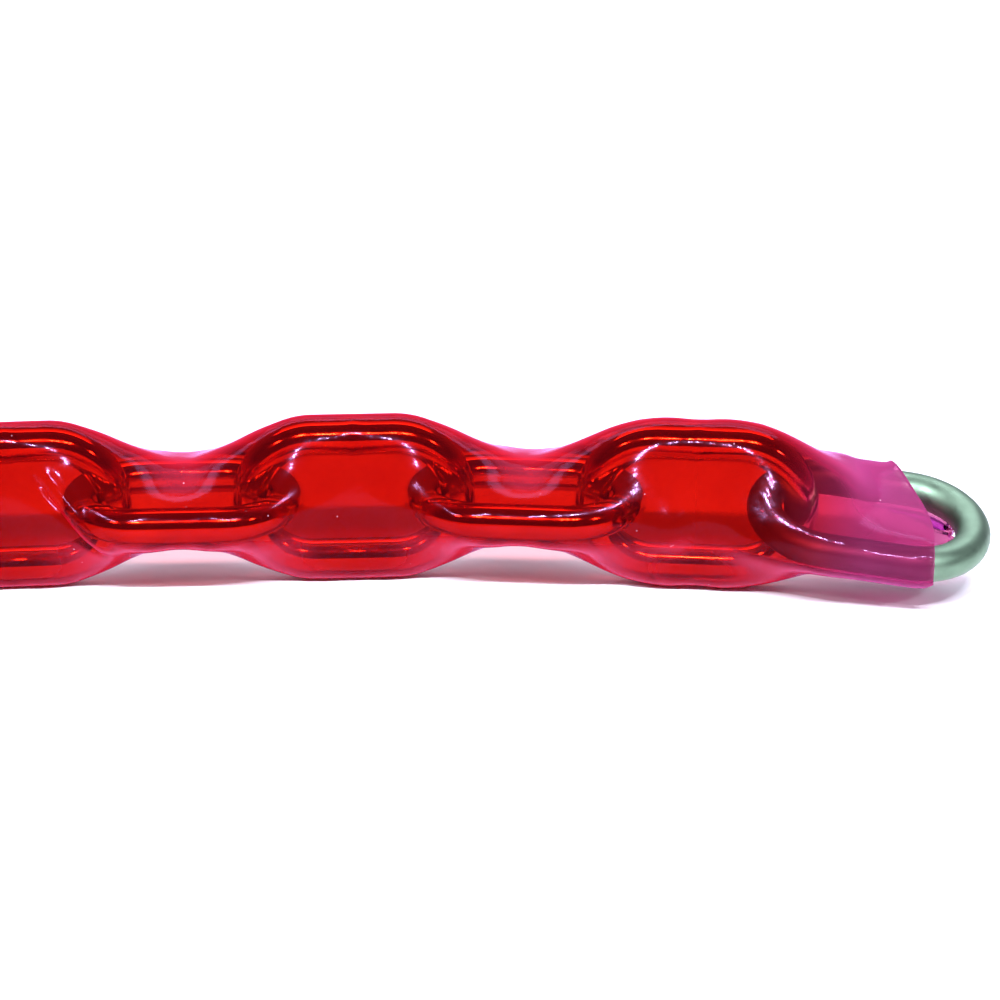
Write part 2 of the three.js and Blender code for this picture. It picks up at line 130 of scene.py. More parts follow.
ANCHOR_X, ANCHOR_Y = anchor_centre()


def centre_of(number):
    """Where a link's centre is on the straight chain."""
    return ANCHOR_X + PITCH * (LINKS - number)


def turn_point(block):
    """Where a block, an upright link and the flat one before it, turns on the block behind it."""
    return centre_of(2 * (block + 1)) + END_ROD_AT


def swung(start, along, across, heading):
    """The place that is this far along and across a heading from a start."""
    c, s = math.cos(heading), math.sin(heading)
    return np.array([start[0] + along * c - across * s, start[1] + along * s + across * c])


def placed(block, x, y):
    """Where a point of the straight chain goes if it keeps to one block of links."""
    if block >= len(HEADINGS) - 1:
        return np.array([x, ANCHOR_Y + y])
    pivot = placed(block + 1, turn_point(block), 0)
    return swung(pivot, x - turn_point(block), y, HEADINGS[block])


def smoothstep(value, low, high):
    t = np.clip((value - low) / (high - low), 0, 1)
    return t * t * (3 - 2 * t)


def bow_at(x):
    """Where the sleeve's middle line goes at x, and its heading there."""
    block = len(HEADINGS) - 1
    while block > 0 and x > turn_point(block - 1) - TURN_HALF:
        block -= 1
    if block >= len(HEADINGS) - 1:
        return np.array([x, ANCHOR_Y]), 0.0
    past = x - turn_point(block)
    turned = smoothstep(past, -TURN_HALF, TURN_HALF)
    heading = HEADINGS[block + 1] + (HEADINGS[block] - HEADINGS[block + 1]) * turned
    return swung(placed(block + 1, turn_point(block), 0), past, 0, heading), heading


def link_matrix(number):
    """From a link's own frame, flat with x along it, to its place in the bowed chain, in mm."""
    heading = Matrix.Rotation(HEADINGS[number // 2], 4, "Z")
    if number == 1:
        x, y = placed(0, centre_of(1) - END_ROD_AT, 0)
        tip = Matrix.Rotation(END_DROOP, 4, "Y") @ Matrix.Translation((END_ROD_AT, 0, 0))
        return Matrix.Translation((x, y, AXIS_HEIGHT)) @ heading @ tip @ Matrix.Rotation(END_ROLL, 4, "X")
    x, y = placed(number // 2, centre_of(number), 0)
    stand = Matrix.Rotation(math.pi / 2 if number % 2 == 0 else 0, 4, "X")
    return Matrix.Translation((x, y, AXIS_HEIGHT)) @ heading @ stand


# ---- Meshes ----


def make_object(name, points, faces, material):
    """A smooth-shaded piece from points in mm, which remember where they are at rest."""
    mesh = bpy.data.meshes.new(name)
    mesh.from_pydata((np.asarray(points) * MM).tolist(), [], faces)
    mesh.polygons.foreach_set("use_smooth", [True] * len(mesh.polygons))
    mesh.materials.append(material)
    rest = mesh.attributes.new("rest_place", "FLOAT_VECTOR", "POINT")
    rest.data.foreach_set("vector", (np.asarray(points) * MM).astype(np.float32).ravel())
    mesh.update()
    piece = bpy.data.objects.new(name, mesh)
    bpy.context.scene.collection.objects.link(piece)
    return piece


# ---- Materials ----


class Nodes:
    """A material's node tree, with short ways to add to it."""

    def __init__(self, name):
        self.material = bpy.data.materials.new(name)
        self.material.use_nodes = True
        self.tree = self.material.node_tree
        self.shader = self.tree.nodes["Principled BSDF"]

    def add(self, kind, **inputs):
        node = self.tree.nodes.new(kind)
        for key, value in inputs.items():
            self.feed(node, key.replace("_", " "), value)
        return node

    def feed(self, node, key, value):
        socket = node.inputs[key]
        if isinstance(value, bpy.types.NodeSocket):
            self.tree.links.new(value, socket)
        else:
            socket.default_value = value

    def place(self, attribute=None):
        """Where a point is on the resting object."""
        if attribute:
            node = self.tree.nodes.new("ShaderNodeAttribute")
            node.attribute_name = attribute
            return node.outputs["Vector"]
        return self.tree.nodes.new("ShaderNodeTexCoord").outputs["Object"]

    def share(self, attribute):
        """A number between 0 and 1 that the mesh keeps at each point."""
        node = self.tree.nodes.new("ShaderNodeAttribute")
        node.attribute_name = attribute
        return node.outputs["Fac"]

    def noise(self, place, scale, detail=3.0):
        return self.add("ShaderNodeTexNoise", Vector=place, Scale=scale, Detail=detail).outputs["Fac"]

    def math(self, operation, first, second):
        node = self.tree.nodes.new("ShaderNodeMath")
        node.operation = operation
        for socket, value in zip(node.inputs, (first, second)):
            self.tree.links.new(value, socket)
        return node.outputs["Value"]

    def between(self, share, low, high, start=0.3, end=0.7):
        """A number that goes from low to high as the share goes from start to end."""
        node = self.add("ShaderNodeMapRange", Value=share)
        node.inputs["From Min"].default_value = start
        node.inputs["From Max"].default_value = end
        node.inputs["To Min"].default_value = low
        node.inputs["To Max"].default_value = high
        return node.outputs["Result"]

    def blend(self, share, first, second):
        """A colour that goes from the first to the second over the middle of the share's range."""
        ramp = self.add("ShaderNodeValToRGB", Fac=share)
        for element, position, colour in zip(ramp.color_ramp.elements, (0.3, 0.7), (first, second)):
            element.position = position
            element.color = colour
        return ramp.outputs["Color"]

    def mix(self, share, first, second):
        """Two colours mixed, with this share of the second."""
        node = self.tree.nodes.new("ShaderNodeMix")
        node.data_type = "RGBA"
        colour_a, colour_b, colour_out = 6, 7, 2
        for key, value in ((0, share), (colour_a, first), (colour_b, second)):
            self.feed(node, key, value)
        return node.outputs[colour_out]

    def mixed(self, share, first, second):
        """Two shaders mixed, with this share of the second."""
        node = self.add("ShaderNodeMixShader", Fac=share)
        for socket, shader in ((1, first), (2, second)):
            self.tree.links.new(shader.outputs[0], node.inputs[socket])
        return node

    def bumped(self, height, strength, distance):
        node = self.add("ShaderNodeBump", Height=height, Strength=strength, Distance=distance)
        return node.outputs["Normal"]

    def bump(self, height, strength, distance):
        self.feed(self.shader, "Normal", self.bumped(height, strength, distance))

    def set(self, **inputs):
        for key, value in inputs.items():
            self.feed(self.shader, key.replace("_", " "), value)


# Two close tints for each end of the sleeve, then the colours of the cloud, the dust and the gloss
FILM_RED = ((0.63, 0.072, 0.030, 1), (0.55, 0.050, 0.022, 1))
FILM_PINK = ((0.63, 0.180, 0.340, 1), (0.57, 0.140, 0.290, 1))
CLOUD_RED = (0.66, 0.008, 0.022, 1)
CLOUD_PINK = (0.52, 0.060, 0.220, 1)
CLOUD_THROUGH = 0.4  # share of the cloud that lets light through, the rest sends it back
CLOUDINESS = (0.06, 0.93, 0.22, 0.62)  # straight on, aslant, and the slants between which it rises
CLOUDIER_AT_MOUTH = 0.16
DUST = (0.85, 0.45, 0.60, 1)
SHEEN = (0.86, 0.50, 1.0, 1)
SPECKS_TO_A_METRE = 260.0
SPECK = (0.85, 0.0, 0.02, 0.05)  # its cover inside and outside, and between which distances that falls
DUSTY_PLACES = (0.0, 1.0, 0.52, 0.56)  # dust elsewhere and there, and where in the noise it sets in
RIPPLE = (0.2, 0.0006)  # strength and depth
GLOSS_ROUGHNESS = (0.07, 0.12)
GLOSS_INDEX = 1.15  # weaker than soft plastic's own, which is about 1.5


def sleeve_material(name, inner=False):
    """Clear soft plastic dyed red: a tinted film with a little cloud and dust, under a wet-looking gloss.

    The inner face has no tint or cloud of its own, as the outer one has those of the whole wall.
    """
    nodes = Nodes(name)
    place = nodes.place("rest_place")
    end = nodes.share("toward_mouth")
    patches = nodes.noise(place, 60)
    tint = nodes.mix(end, nodes.blend(patches, *FILM_RED), nodes.blend(patches, *FILM_PINK))
    film = nodes.add("ShaderNodeBsdfTransparent", Color=(1, 1, 1, 1) if inner else tint)
    cloud_colour = nodes.mix(end, CLOUD_RED, CLOUD_PINK)
    through = nodes.add("ShaderNodeBsdfTranslucent", Color=cloud_colour)
    back = nodes.add("ShaderNodeBsdfDiffuse", Color=cloud_colour)
    cloud = nodes.mixed(1 - CLOUD_THROUGH, through, back)
    slant = nodes.add("ShaderNodeLayerWeight", Blend=0.35).outputs["Facing"]
    at_mouth = nodes.between(end, 0.0, CLOUDIER_AT_MOUTH, 0.0, 1.0)
    cloudiness = nodes.math("ADD", nodes.between(slant, *CLOUDINESS), at_mouth)
    body = nodes.mixed(0.0 if inner else cloudiness, film, cloud)
    cells = nodes.add("ShaderNodeTexVoronoi", Vector=place, Scale=SPECKS_TO_A_METRE).outputs["Distance"]
    specks = nodes.between(cells, *SPECK)
    dusty_places = nodes.between(nodes.noise(place, 140), *DUSTY_PLACES)
    dust = nodes.add("ShaderNodeBsdfDiffuse", Color=DUST)
    body = nodes.mixed(nodes.math("MULTIPLY", specks, dusty_places), body, dust)
    ripple = nodes.bumped(nodes.noise(place, 120, 4), *RIPPLE)
    gloss = nodes.add("ShaderNodeBsdfAnisotropic", Color=SHEEN, Normal=ripple)
    nodes.feed(gloss, "Roughness", nodes.between(nodes.noise(place, 500), *GLOSS_ROUGHNESS))
    fresnel = nodes.add("ShaderNodeFresnel", IOR=GLOSS_INDEX, Normal=ripple).outputs["Fac"]
    finished = nodes.mixed(fresnel, body, gloss)
    nodes.tree.links.new(finished.outputs[0], nodes.tree.nodes["Material Output"].inputs["Surface"])
    nodes.tree.nodes.remove(nodes.shader)
    return nodes.material


def zinc_material(name, pale, deep, rough):
    """Zinc plating, which stays in place on the link as it moves."""
    nodes = Nodes(name)
    place = nodes.place("rest_place")
    nodes.set(Base_Color=nodes.blend(nodes.noise(place, 150), deep, pale), Metallic=1.0)
    nodes.set(Roughness=nodes.between(nodes.noise(place, 220), *rough))
    nodes.bump(nodes.noise(place, 90, 2), 0.12, 0.0005)
    return nodes.material


def plain_metal(name, first, second, rough, grain=400):
    nodes = Nodes(name)
    place = nodes.place()
    nodes.set(Base_Color=nodes.blend(nodes.noise(place, 120), first, second), Metallic=1.0)
    fine = nodes.noise(place, grain, 4)
    nodes.set(Roughness=nodes.between(fine, *rough))
    nodes.bump(fine, 0.2, 0.00012)
    return nodes.material


def black_plastic_material():
    nodes = Nodes("black_plastic")
    grain = nodes.noise(nodes.place(), 1800, 4)
    nodes.set(Base_Color=nodes.blend(grain, (0.012, 0.012, 0.013, 1), (0.03, 0.03, 0.032, 1)))
    nodes.set(Roughness=nodes.between(grain, 0.38, 0.6))
    nodes.bump(grain, 0.4, 0.0001)
    return nodes.material


# ---- Links ----

ROD_SIDES = 28
BEND_STEPS = 26
LEG_STEPS = 14
WELD_RISE = 0.28
WELD_HALF = 1.6
UNDERSIZE = 0.02  # how much thinner than in the CAD model the wire's radius is
ON_LEG = 0.01  # how exactly a point is on the leg that has the weld


def link_path():
    """Middle points of the wire and the outward direction at each, once round a flat link."""
    middles, outwards = [], []
    for end in (1, -1):
        for angle in np.linspace(-math.pi / 2, math.pi / 2, BEND_STEPS + 1):
            out = np.array([math.cos(angle), math.sin(angle), 0]) * [end, end, 1]
            middles.append(np.array([end * LEG_HALF, 0, 0]) + BEND_RADIUS * out)
            outwards.append(out)
        for along in np.linspace(1, -1, LEG_STEPS + 1)[1:-1]:
            middles.append(np.array([end * along * LEG_HALF, end * BEND_RADIUS, 0]))
            outwards.append(np.array([0, end, 0]))
    return np.array(middles), np.array(outwards)


def make_link(number, material):
    """Round wire bent to a link, a little thicker at the weld in one leg."""
    middles, outwards = link_path()
    angles = np.arange(ROD_SIDES) * 2 * math.pi / ROD_SIDES
    on_weld_leg = middles[:, 1] > BEND_RADIUS - ON_LEG
    weld = WELD_RISE * np.exp(-((middles[:, 0] / WELD_HALF) ** 2)) * on_weld_leg
    radius = (ROD / 2 - UNDERSIZE + weld)[:, None, None]
    up = np.array([0, 0, 1.0])
    ring = outwards[:, None] * np.cos(angles)[None, :, None] - up * np.sin(angles)[None, :, None]
    points = (middles[:, None] + radius * ring).reshape(-1, 3)
    rows = len(middles)
    faces = []
    for row in range(rows):
        for side in range(ROD_SIDES):
            turn = (side + 1) % ROD_SIDES
            here, there = row * ROD_SIDES, (row + 1) % rows * ROD_SIDES
            faces.append((here + side, here + turn, there + turn, there + side))
    matrix = np.array(link_matrix(number))
    points = points @ matrix[:3, :3].T + matrix[:3, 3]
    piece = make_object(f"wire_link_{number:02d}", points, faces, material)
    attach(piece, f"link_{number:02d}")
    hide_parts(f"link_{number:02d}")
    return piece


def gap_to_link(points, number):
    """Distance from each point to a link's surface, below 0 inside it."""
    back = np.array(link_matrix(number).inverted())
    local = points @ back[:3, :3].T + back[:3, 3]
    past_leg = np.maximum(np.abs(local[..., 0]) - LEG_HALF, 0)
    from_line = np.hypot(past_leg, local[..., 1]) - BEND_RADIUS
    return np.hypot(from_line, local[..., 2]) - ROD / 2


# ---- Sleeve ----


def spread(number, x):
    """How far from the chain's axis a link holds the sleeve out at x."""
    steps = abs(x - centre_of(number)) / PITCH
    return BEND_RADIUS * (1 - smoothstep(steps, BULGE_FLAT, DRAPE))


def at_last_bulge(x):
    return math.exp(-(((x - centre_of(2)) / LAST_BULGE_WIDTH) ** 2))


def past_end_link(x, reach):
    """Rises from 0 to 1 between two places that are given from the end link's centre."""
    start, end = reach
    return smoothstep(x, centre_of(1) + start, centre_of(1) + end)


def looseness(x):
    """How much wider than the chain needs the tube is: a little at the last bulge and at the mouth."""
    at_mouth = float(past_end_link(x, LOOSE_FROM_END_LINK))
    return LOOSE_AT_LAST_BULGE * at_last_bulge(x) + LOOSE_AT_MOUTH * at_mouth


def section(x):
    """The inside of the sleeve at x: evenly spaced points (across, up), from the far side round."""
    wires = []
    for number in range(1, LINKS + 1):
        half = spread(number, x)
        if half <= 0:
            continue
        lean = math.pi / 2 if number % 2 == 0 else END_ROLL if number == 1 else 0
        for side in (1, -1):
            wires.append((side * half * math.cos(lean), side * half * math.sin(lean)))
    wires = np.array(wires)
    angles = np.arange(OUTLINE_STEPS) * 2 * math.pi / OUTLINE_STEPS
    normals = np.stack([np.cos(angles), np.sin(angles)], 1)
    furthest = wires[np.argmax(normals @ wires.T, 1)]
    loose = looseness(x)
    outline = furthest + normals * (INNER_RADIUS + loose)
    outline = np.vstack([outline, outline[:1]])
    run = np.concatenate([[0], np.cumsum(np.linalg.norm(np.diff(outline, axis=0), axis=1))])
    even = np.arange(AROUND) * run[-1] / AROUND
    across = np.interp(even, run, outline[:, 0])
    up = np.interp(even, run, outline[:, 1])
    droop = math.tan(MOUTH_DROOP) * max(0.0, x - centre_of(1) + END_ROD_AT)
    nearer = NEARER_AT_LAST_BULGE * at_last_bulge(x)
    return np.stack([across - nearer, up + loose - droop], 1)


def cut_at(across, up):
    """Where the hand-cut mouth ends. It slants away on the far side, and leaves a ragged lip underneath."""
    corner, soft = MOUTH_CORNER
    past = across - corner
    slant = MOUTH_SLOPE * 0.5 * (past + np.hypot(past, soft))
    below = MOUTH_TILT * across - up - MOUTH_DROP
    underneath = smoothstep(below, *LIP_BELOW)
    ragged = sum(height * math.sin(turn * across + start) for height, turn, start in RAGS)
    lip = underneath * smoothstep(across, *LIP_ACROSS) * (LIP + ragged + slant)
    nick = NICK * underneath * (1 - smoothstep(across, *NICK_ACROSS))
    return centre_of(1) + MOUTH_REACH - slant + lip - nick


def sleeve_grid():
    """The inside of the whole sleeve in the bowed chain's place: rows along it, columns round it."""
    start = centre_of(LINKS) + SLEEVE_FROM_ANCHOR
    end = centre_of(1) + MOUTH_REACH + LIP + RAGS_REACH
    xs = np.linspace(start, end, int((end - start) / STEP) + 1)
    outlines = np.array([section(x) for x in xs])
    straight = np.broadcast_to(xs[:, None], outlines.shape[:2]).copy()
    first = int(np.searchsorted(xs, centre_of(1) + CUT_FELT_FROM))
    mouth = int(np.searchsorted(xs, centre_of(1) + MOUTH_REACH))
    share = np.linspace(0, 1, len(xs) - first)
    for column in range(AROUND):
        cut = cut_at(outlines[mouth, column, 0], outlines[mouth, column, 1])
        wanted = xs[first] + share * (cut - xs[first])
        for axis in (0, 1):
            outlines[first:, column, axis] = np.interp(wanted, xs, outlines[:, column, axis])
        straight[first:, column] = wanted
    grid = np.empty((*straight.shape, 3))
    for row in range(len(xs)):
        for column in range(AROUND):
            x = straight[row, column]
            if column == 0 or row >= first:
                (middle_x, middle_y), heading = bow_at(x)
            across = outlines[row, column, 0]
            grid[row, column, 0] = middle_x - across * math.sin(heading)
            grid[row, column, 1] = middle_y + across * math.cos(heading)
    grid[..., 2] = AXIS_HEIGHT + outlines[..., 1]
    return xs, grid


def outward(grid):
    """The outward direction at each point of the tube."""
    along = np.gradient(grid, axis=0)
    around = np.roll(grid, -1, axis=1) - np.roll(grid, 1, axis=1)
    normal = np.cross(around, along)
    return normal / np.linalg.norm(normal, axis=2, keepdims=True)


def clear_of_links(xs, grid):
    """Pushes the sleeve out wherever a link would touch it."""
    normal = outward(grid)
    for number in range(1, LINKS + 1):
        rows = np.abs(xs - centre_of(number)) < END_ROD_AT + ROD
        short = np.maximum(TOUCH - gap_to_link(grid[rows], number), 0)
        grid[rows] += normal[rows] * short[..., None]
    return grid


def eased(grid):
    """Evens the tube out along and around itself, as its stiffness does."""
    along = grid.copy()
    along[1:-1] = (grid[:-2] + grid[2:]) / 2
    around = (np.roll(grid, 1, axis=1) + np.roll(grid, -1, axis=1)) / 2
    grid = grid.copy()
    own, by_along, by_around = EASING
    grid[1:-1] = own * grid[1:-1] + by_along * along[1:-1] + by_around * around[1:-1]
    return grid


def girth(grid):
    return np.linalg.norm(np.roll(grid, -1, axis=1) - grid, axis=2).sum(axis=1)


def finished_sleeve():
    """The sleeve holds its girth while it is evened out, and has slack where the links cross."""
    xs, grid = sleeve_grid()
    wanted = 4 * BEND_RADIUS + 2 * math.pi * (INNER_RADIUS + np.array([looseness(x) for x in xs]))
    between_links = np.abs(np.sin(math.pi * (xs - centre_of(1)) / PITCH)) * (xs < centre_of(1))
    wanted += SLACK_BETWEEN_LINKS * between_links
    for _ in range(EASING_ROUNDS):
        grid = eased(clear_of_links(xs, grid))
        short = np.clip((wanted - girth(grid)) / (2 * math.pi), 0, STRETCH_A_ROUND)
        grid += outward(grid) * short[:, None, None]
    grid = creased(xs, grid)
    for _ in range(CLEARING_ROUNDS):
        grid = clear_of_links(xs, grid)
    return xs, grid


def distance_to(line, points):
    """How far points (x, up) are to the left of a line, and which share of its length they are at."""
    start, end = np.array(line[0]), np.array(line[1])
    along = (end - start) / np.linalg.norm(end - start)
    back = points - start
    share = back @ along / np.linalg.norm(end - start)
    across = back @ np.array([-along[1], along[0]])
    return across, share


def creased(xs, grid):
    """The creases in the near side of the plastic, and the slack near side of the last bulge."""
    normal = outward(grid)
    near = normal[..., 1] < NEAR_SIDE
    ridge_height, ridge_at, ridge_width = RIDGE
    begins, ends = FOLD_FADE
    place = np.stack([np.broadcast_to(xs[:, None], grid.shape[:2]), grid[..., 2] - AXIS_HEIGHT], 2)
    for number, line, depth in FOLDS:
        shifted = [(centre_of(number) + x, up) for x, up in line]
        across, share = distance_to(shifted, place)
        fade = smoothstep(share, *begins) * (1 - smoothstep(share, *ends)) * near
        ridge = ridge_height * np.exp(-(((across - ridge_at) / ridge_width) ** 2))
        fold = ridge - np.exp(-((across / GROOVE_WIDTH) ** 2))
        grid += normal * (depth * fold * fade)[..., None]
    for x, up, wide, high, out in LOOSE_PLACES:
        far_x = (place[..., 0] - centre_of(2) - x) / wide
        far_up = (place[..., 1] - up) / high
        grid[..., 1] -= out * np.exp(-(far_x**2) - far_up**2) * near
    return grid


def tube_faces(rows, offset, flip):
    """The quads of a tube whose points start at an offset, turned inward if flipped."""
    faces = []
    for row in range(rows - 1):
        for column in range(AROUND):
            turn = (column + 1) % AROUND
            a, b = offset + row * AROUND + column, offset + row * AROUND + turn
            face = (a, b, b + AROUND, a + AROUND)
            faces.append(face[::-1] if flip else face)
    return faces


def make_sleeve(materials):
    """The whole sleeve, cut at the middle of each link but the first and the last."""
    xs, inside = finished_sleeve()
    normal = outward(inside)
    outside = inside + WALL * normal
    for number in range(1, LINKS):
        low = 0 if number == LINKS - 1 else int(np.argmin(np.abs(xs - centre_of(number + 1))))
        high = len(xs) - 1 if number == 1 else int(np.argmin(np.abs(xs - centre_of(number))))
        rows = slice(low, high + 1)
        share = past_end_link(xs[rows], PINK_FROM_END_LINK)
        make_stretch(number, inside[rows], outside[rows], normal[rows], share, materials)


def make_stretch(number, inside, outside, normal, share, materials):
    """A stretch from the middle of one link to the middle of the next."""
    rows = len(inside)
    points, normals = [outside.reshape(-1, 3)], [normal.reshape(-1, 3)]
    shares = [np.repeat(share, AROUND)]
    faces = tube_faces(rows, 0, False)
    open_end = {1: (-1, 1), LINKS - 1: (0, -1)}.get(number)
    outer_faces = len(faces)
    if open_end:
        points.append(inside.reshape(-1, 3))
        normals.append(-normal.reshape(-1, 3))
        shares.append(shares[0])
        faces += tube_faces(rows, rows * AROUND, True)
        row, sign = open_end
        offset = 2 * rows * AROUND
        facing = sign * np.cross(outside[row] - inside[row], np.roll(outside[row], -1, 0) - outside[row])
        facing /= np.linalg.norm(facing, axis=1, keepdims=True)
        points += [outside[row], inside[row]]
        normals += [facing, facing]
        shares.append(np.full(2 * AROUND, share[row]))
    inner_faces = len(faces)
    if open_end:
        for column in range(AROUND):
            turn = (column + 1) % AROUND
            face = (offset + column, offset + turn, offset + AROUND + turn, offset + AROUND + column)
            faces.append(face if sign > 0 else face[::-1])
    name = f"sleeve_stretch_{number:02d}"
    piece = make_object(name, np.vstack(points), faces, materials[0])
    piece.data.materials.append(materials[1])
    skins = np.zeros(len(faces), np.int32)
    skins[outer_faces:inner_faces] = 1
    piece.data.polygons.foreach_set("material_index", skins)
    toward_mouth = piece.data.attributes.new("toward_mouth", "FLOAT", "POINT")
    toward_mouth.data.foreach_set("value", np.concatenate(shares).astype(np.float32))
    piece.data.normals_split_custom_set_from_vertices(np.vstack(normals).tolist())
    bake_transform(piece)
    nodes = [f"sleeve_{number:02d}"] + ([f"sleeve_{LINKS:02d}"] if number == LINKS - 1 else [])
    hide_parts(*nodes)


# ---- Studio ----

CAMERA_ELEVATION = math.radians(23)
CAMERA_DISTANCE = 0.65
CAMERA_AIM = (-5.7, -2.0)  # mm from the third link's centre
LENS = 103
SENSOR = 36
COOL = (0.84, 0.86, 1.0)
# Each lamp's name, place, aim, size in m and watts
LAMPS = [
    ("overhead", (0.12, 0.50, 0.95), (0.12, 0.06, 0), (1.6, 0.18), 8.5),
    ("far_floor", (0.15, 1.5, 1.5), (0.15, 1.3, 0), (2.4, 0.8), 16),
    ("left_flash", (-0.40, -0.62, 0.66), (0.12, 0, 0), (0.08, 0.08), 2.8),
    ("right_flash", (0.82, -0.60, 0.62), (0.15, 0, 0), (0.07, 0.07), 2.8),
]
# A row of small bright lamps in front of and above the chain, whose glints run along the wires
SPARKS_ASIDE = (-0.20, -0.16, -0.02, 0.05, 0.16, 0.22)  # from the camera's own x
SPARK_PLACE = (-0.60, 0.66)  # its y and z
SPARK_AIM = (0.4, 0.02)  # share of the way aside that it aims at, and how high
SPARK = ((0.016, 0.02), 2.8)  # its size and watts
FLOOR_SIZE = 6000
FLOOR_TOP = -0.05
NEAR_TO_FAR = ((0.05, 0.05, 0.07, 1), (0.50, 0.48, 0.62, 1))
NEAR_AND_FAR_AT = (0.35, 0.95)  # shares of the way from straight near to straight far


def make_camera():
    """Looks along +Y and down at the end of the chain, and aims a little in front of its axis."""
    x, y = placed(1, centre_of(3), 0)
    along, across = CAMERA_AIM
    target = Vector(((x + along) * MM, (y + across) * MM, AXIS_HEIGHT * MM))
    data = bpy.data.cameras.new("camera")
    data.lens = LENS
    data.sensor_width = SENSOR
    data.clip_start = 0.05
    camera = bpy.data.objects.new("camera", data)
    bpy.context.scene.collection.objects.link(camera)
    back = Vector((0, -math.cos(CAMERA_ELEVATION), math.sin(CAMERA_ELEVATION)))
    camera.location = target + back * CAMERA_DISTANCE
    camera.rotation_mode = "QUATERNION"
    camera.rotation_quaternion = (-back).to_track_quat("-Z", "Y")
    bpy.context.scene.camera = camera


def add_lamp(name, place, aim, size, watts):
    data = bpy.data.lights.new(name, "AREA")
    data.shape = "RECTANGLE"
    data.size, data.size_y = size
    data.energy = watts
    data.color = COOL
    lamp = bpy.data.objects.new(name, data)
    bpy.context.scene.collection.objects.link(lamp)
    lamp.location = place
    lamp.rotation_mode = "QUATERNION"
    lamp.rotation_quaternion = (Vector(aim) - Vector(place)).to_track_quat("-Z", "Y")


def make_floor():
    half = FLOOR_SIZE / 2
    points = [(x * half, y * half, FLOOR_TOP) for x, y in ((-1, -1), (1, -1), (1, 1), (-1, 1))]
    nodes = Nodes("pale_floor")
    cloud = nodes.noise(nodes.place(), 3)
    nodes.set(Base_Color=nodes.blend(cloud, (0.91, 0.91, 0.92, 1), (0.94, 0.94, 0.94, 1)), Roughness=0.6)
    floor = make_object("floor", points, [(0, 1, 2, 3)], nodes.material)


def make_world():
    """A dim room that is lighter beyond the object than on the near side."""
    world = bpy.data.worlds.new("studio")
    bpy.context.scene.world = world
    world.use_nodes = True
    tree = world.node_tree
    place = tree.nodes.new("ShaderNodeTexCoord")
    split = tree.nodes.new("ShaderNodeSeparateXYZ")
    share = tree.nodes.new("ShaderNodeMapRange")
    ramp = tree.nodes.new("ShaderNodeValToRGB")
    tree.links.new(place.outputs["Generated"], split.inputs["Vector"])
    tree.links.new(split.outputs["Y"], share.inputs["Value"])
    share.inputs["From Min"].default_value = -1.0
    share.inputs["From Max"].default_value = 1.0
    tree.links.new(share.outputs["Result"], ramp.inputs["Fac"])
    for element, place_along, colour in zip(ramp.color_ramp.elements, NEAR_AND_FAR_AT, NEAR_TO_FAR):
        element.position = place_along
        element.color = colour
    tree.links.new(ramp.outputs["Color"], tree.nodes["Background"].inputs["Color"])


def make_studio():
    make_camera()
    make_floor()
    make_world()
    middle = bpy.context.scene.camera.location.x
    share, height = SPARK_AIM
    for lamp in LAMPS:
        add_lamp(*lamp)
    for number, aside in enumerate(SPARKS_ASIDE):
        place = (middle + aside, *SPARK_PLACE)
        add_lamp(f"spark_{number}", place, (middle + aside * share, 0, height), *SPARK)
    bpy.context.scene.view_settings.view_transform = "Standard"


# ---- Lock ----

# The spring: the CAD model's sizes, in finer steps and with its ends laid flat
SPRING_RADIUS = 6.2
SPRING_WIRE = 0.6
SPRING_TURNS = 5
SPRING_ENDS = (27.0, 41.0)
SPRING_STEPS = 48
SPRING_SIDES = 12
SPRING_SEAT = (0.1, 0.03)  # the share of the wire at each end that climbs only this share of the height

EDGE_SEGMENTS = 3
EDGE_ANGLE = math.radians(32)
SHARP_ANGLE = math.radians(34)
SAME_POINT = 0.00001  # in m
# How far each piece's edges are rounded over
EDGES = {
    "lock_case": 0.5,
    "base_cover": 0.25,
    "cover_screw_left": 0.15,
    "cover_screw_right": 0.15,
    "anchor_pin": 0.2,
    "stop_pin": 0.15,
    "plunger": 0.35,
    "bolt": 0.3,
    "key_plug": 0.2,
    "plug_cam": 0.15,
    "catch": 0.15,
    "key_blade": 0.12,
    "key_head": 0.8,
}


def refined(name, width, body, material):
    """A CAD piece with its edges rounded over, as a finished part's are."""
    node = frame["nodes"][name]
    mesh = node.data.copy()
    mesh.transform(node.matrix_world)
    piece = bpy.data.objects.new(f"fine_{name}", mesh)
    bpy.context.scene.collection.objects.link(piece)
    weld = piece.modifiers.new("weld", "WELD")
    weld.merge_threshold = SAME_POINT
    bevel = piece.modifiers.new("edges", "BEVEL")
    bevel.width = width * MM
    bevel.segments = EDGE_SEGMENTS
    bevel.limit_method = "ANGLE"
    bevel.angle_limit = EDGE_ANGLE
    bevel.use_clamp_overlap = True
    finished = bpy.data.meshes.new_from_object(piece.evaluated_get(bpy.context.evaluated_depsgraph_get()))
    piece.modifiers.clear()
    piece.data = finished
    finished.polygons.foreach_set("use_smooth", [True] * len(finished.polygons))
    finished.set_sharp_from_angle(angle=SHARP_ANGLE)
    finished.materials.clear()
    finished.materials.append(material)
    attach(piece, body)
    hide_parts(name)


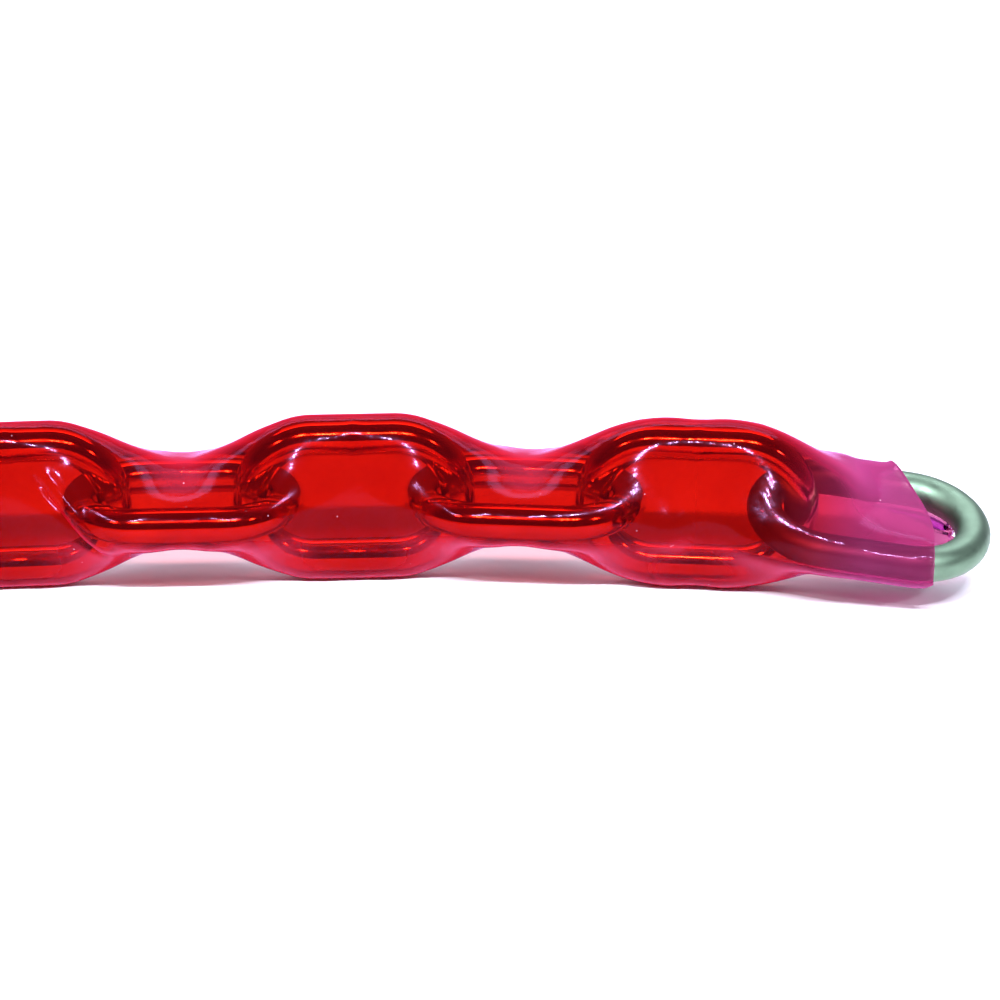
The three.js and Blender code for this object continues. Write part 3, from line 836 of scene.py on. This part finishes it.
def make_spring(material):
    """A fine coil, with its last half turn at each end lying flat against its seat."""
    middle = joints["key_turn"]["pos_m"]
    rows, sides = SPRING_TURNS * SPRING_STEPS, SPRING_SIDES
    share = np.linspace(0, 1, rows + 1)
    angle = share * SPRING_TURNS * 2 * math.pi
    low, high = SPRING_ENDS[0] + SPRING_WIRE, SPRING_ENDS[1] - SPRING_WIRE
    seat, climb = SPRING_SEAT
    height = low + (high - low) * np.interp(share, (0, seat, 1 - seat, 1), (0, climb, 1 - climb, 1))
    out = np.stack([np.cos(angle), np.sin(angle), np.zeros_like(angle)], 1)
    coil = out * SPRING_RADIUS + np.stack([0 * angle, 0 * angle, height], 1)
    turn = np.arange(sides) * 2 * math.pi / sides
    ring = out[:, None] * np.cos(turn)[None, :, None] + np.array([0, 0, 1.0]) * np.sin(turn)[None, :, None]
    axis = np.array([middle[0] / MM, middle[1] / MM, 0])
    points = (coil[:, None] + SPRING_WIRE * ring).reshape(-1, 3) + axis
    faces = [tuple(range(sides)), tuple(rows * sides + side for side in reversed(range(sides)))]
    for row in range(rows):
        for side in range(sides):
            a, b = row * sides + side, row * sides + (side + 1) % sides
            faces.append((a, a + sides, b + sides, b))
    piece = make_object("fine_bolt_spring", points, faces, material)
    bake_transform(piece)
    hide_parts("bolt_spring")


def make_lock():
    """A finer piece over each of the lock's CAD pieces, in the material that the record names."""
    nickel = plain_metal("satin_nickel", (0.53, 0.53, 0.54, 1), (0.58, 0.58, 0.58, 1), (0.30, 0.40), 700)
    chrome = plain_metal("chrome", (0.74, 0.75, 0.77, 1), (0.82, 0.83, 0.84, 1), (0.08, 0.16))
    brass = plain_metal("brass", (0.62, 0.44, 0.17, 1), (0.74, 0.55, 0.25, 1), (0.20, 0.34))
    spring = plain_metal("spring_steel", (0.34, 0.35, 0.37, 1), (0.46, 0.46, 0.48, 1), (0.28, 0.44))
    looks = {"nickel": nickel, "chrome": chrome, "brass": brass, "spring_steel": spring}
    looks["black_plastic"] = black_plastic_material()
    groups = frame["record"]["behaviour"]["bodies"]
    bodies = {node: body for body, nodes in groups.items() for node in nodes}
    for part in frame["record"]["subparts"]:
        name, slot = part["node"], part["material_slot"]
        if name in EDGES:
            refined(name, EDGES[name], bodies[name], looks[slot])
    make_spring(spring)


make_studio()
covered_zinc = zinc_material("bright_zinc", (0.95, 0.95, 0.93, 1), (0.84, 0.86, 0.84, 1), (0.08, 0.15))
bare_zinc = zinc_material("dull_zinc", (0.20, 0.30, 0.205, 1), (0.15, 0.23, 0.158, 1), (0.40, 0.56))
for link_number in range(1, LINKS + 1):
    make_link(link_number, bare_zinc if link_number == 1 else covered_zinc)
make_sleeve((sleeve_material("red_pvc"), sleeve_material("red_pvc_inner_face", inner=True)))
make_lock()
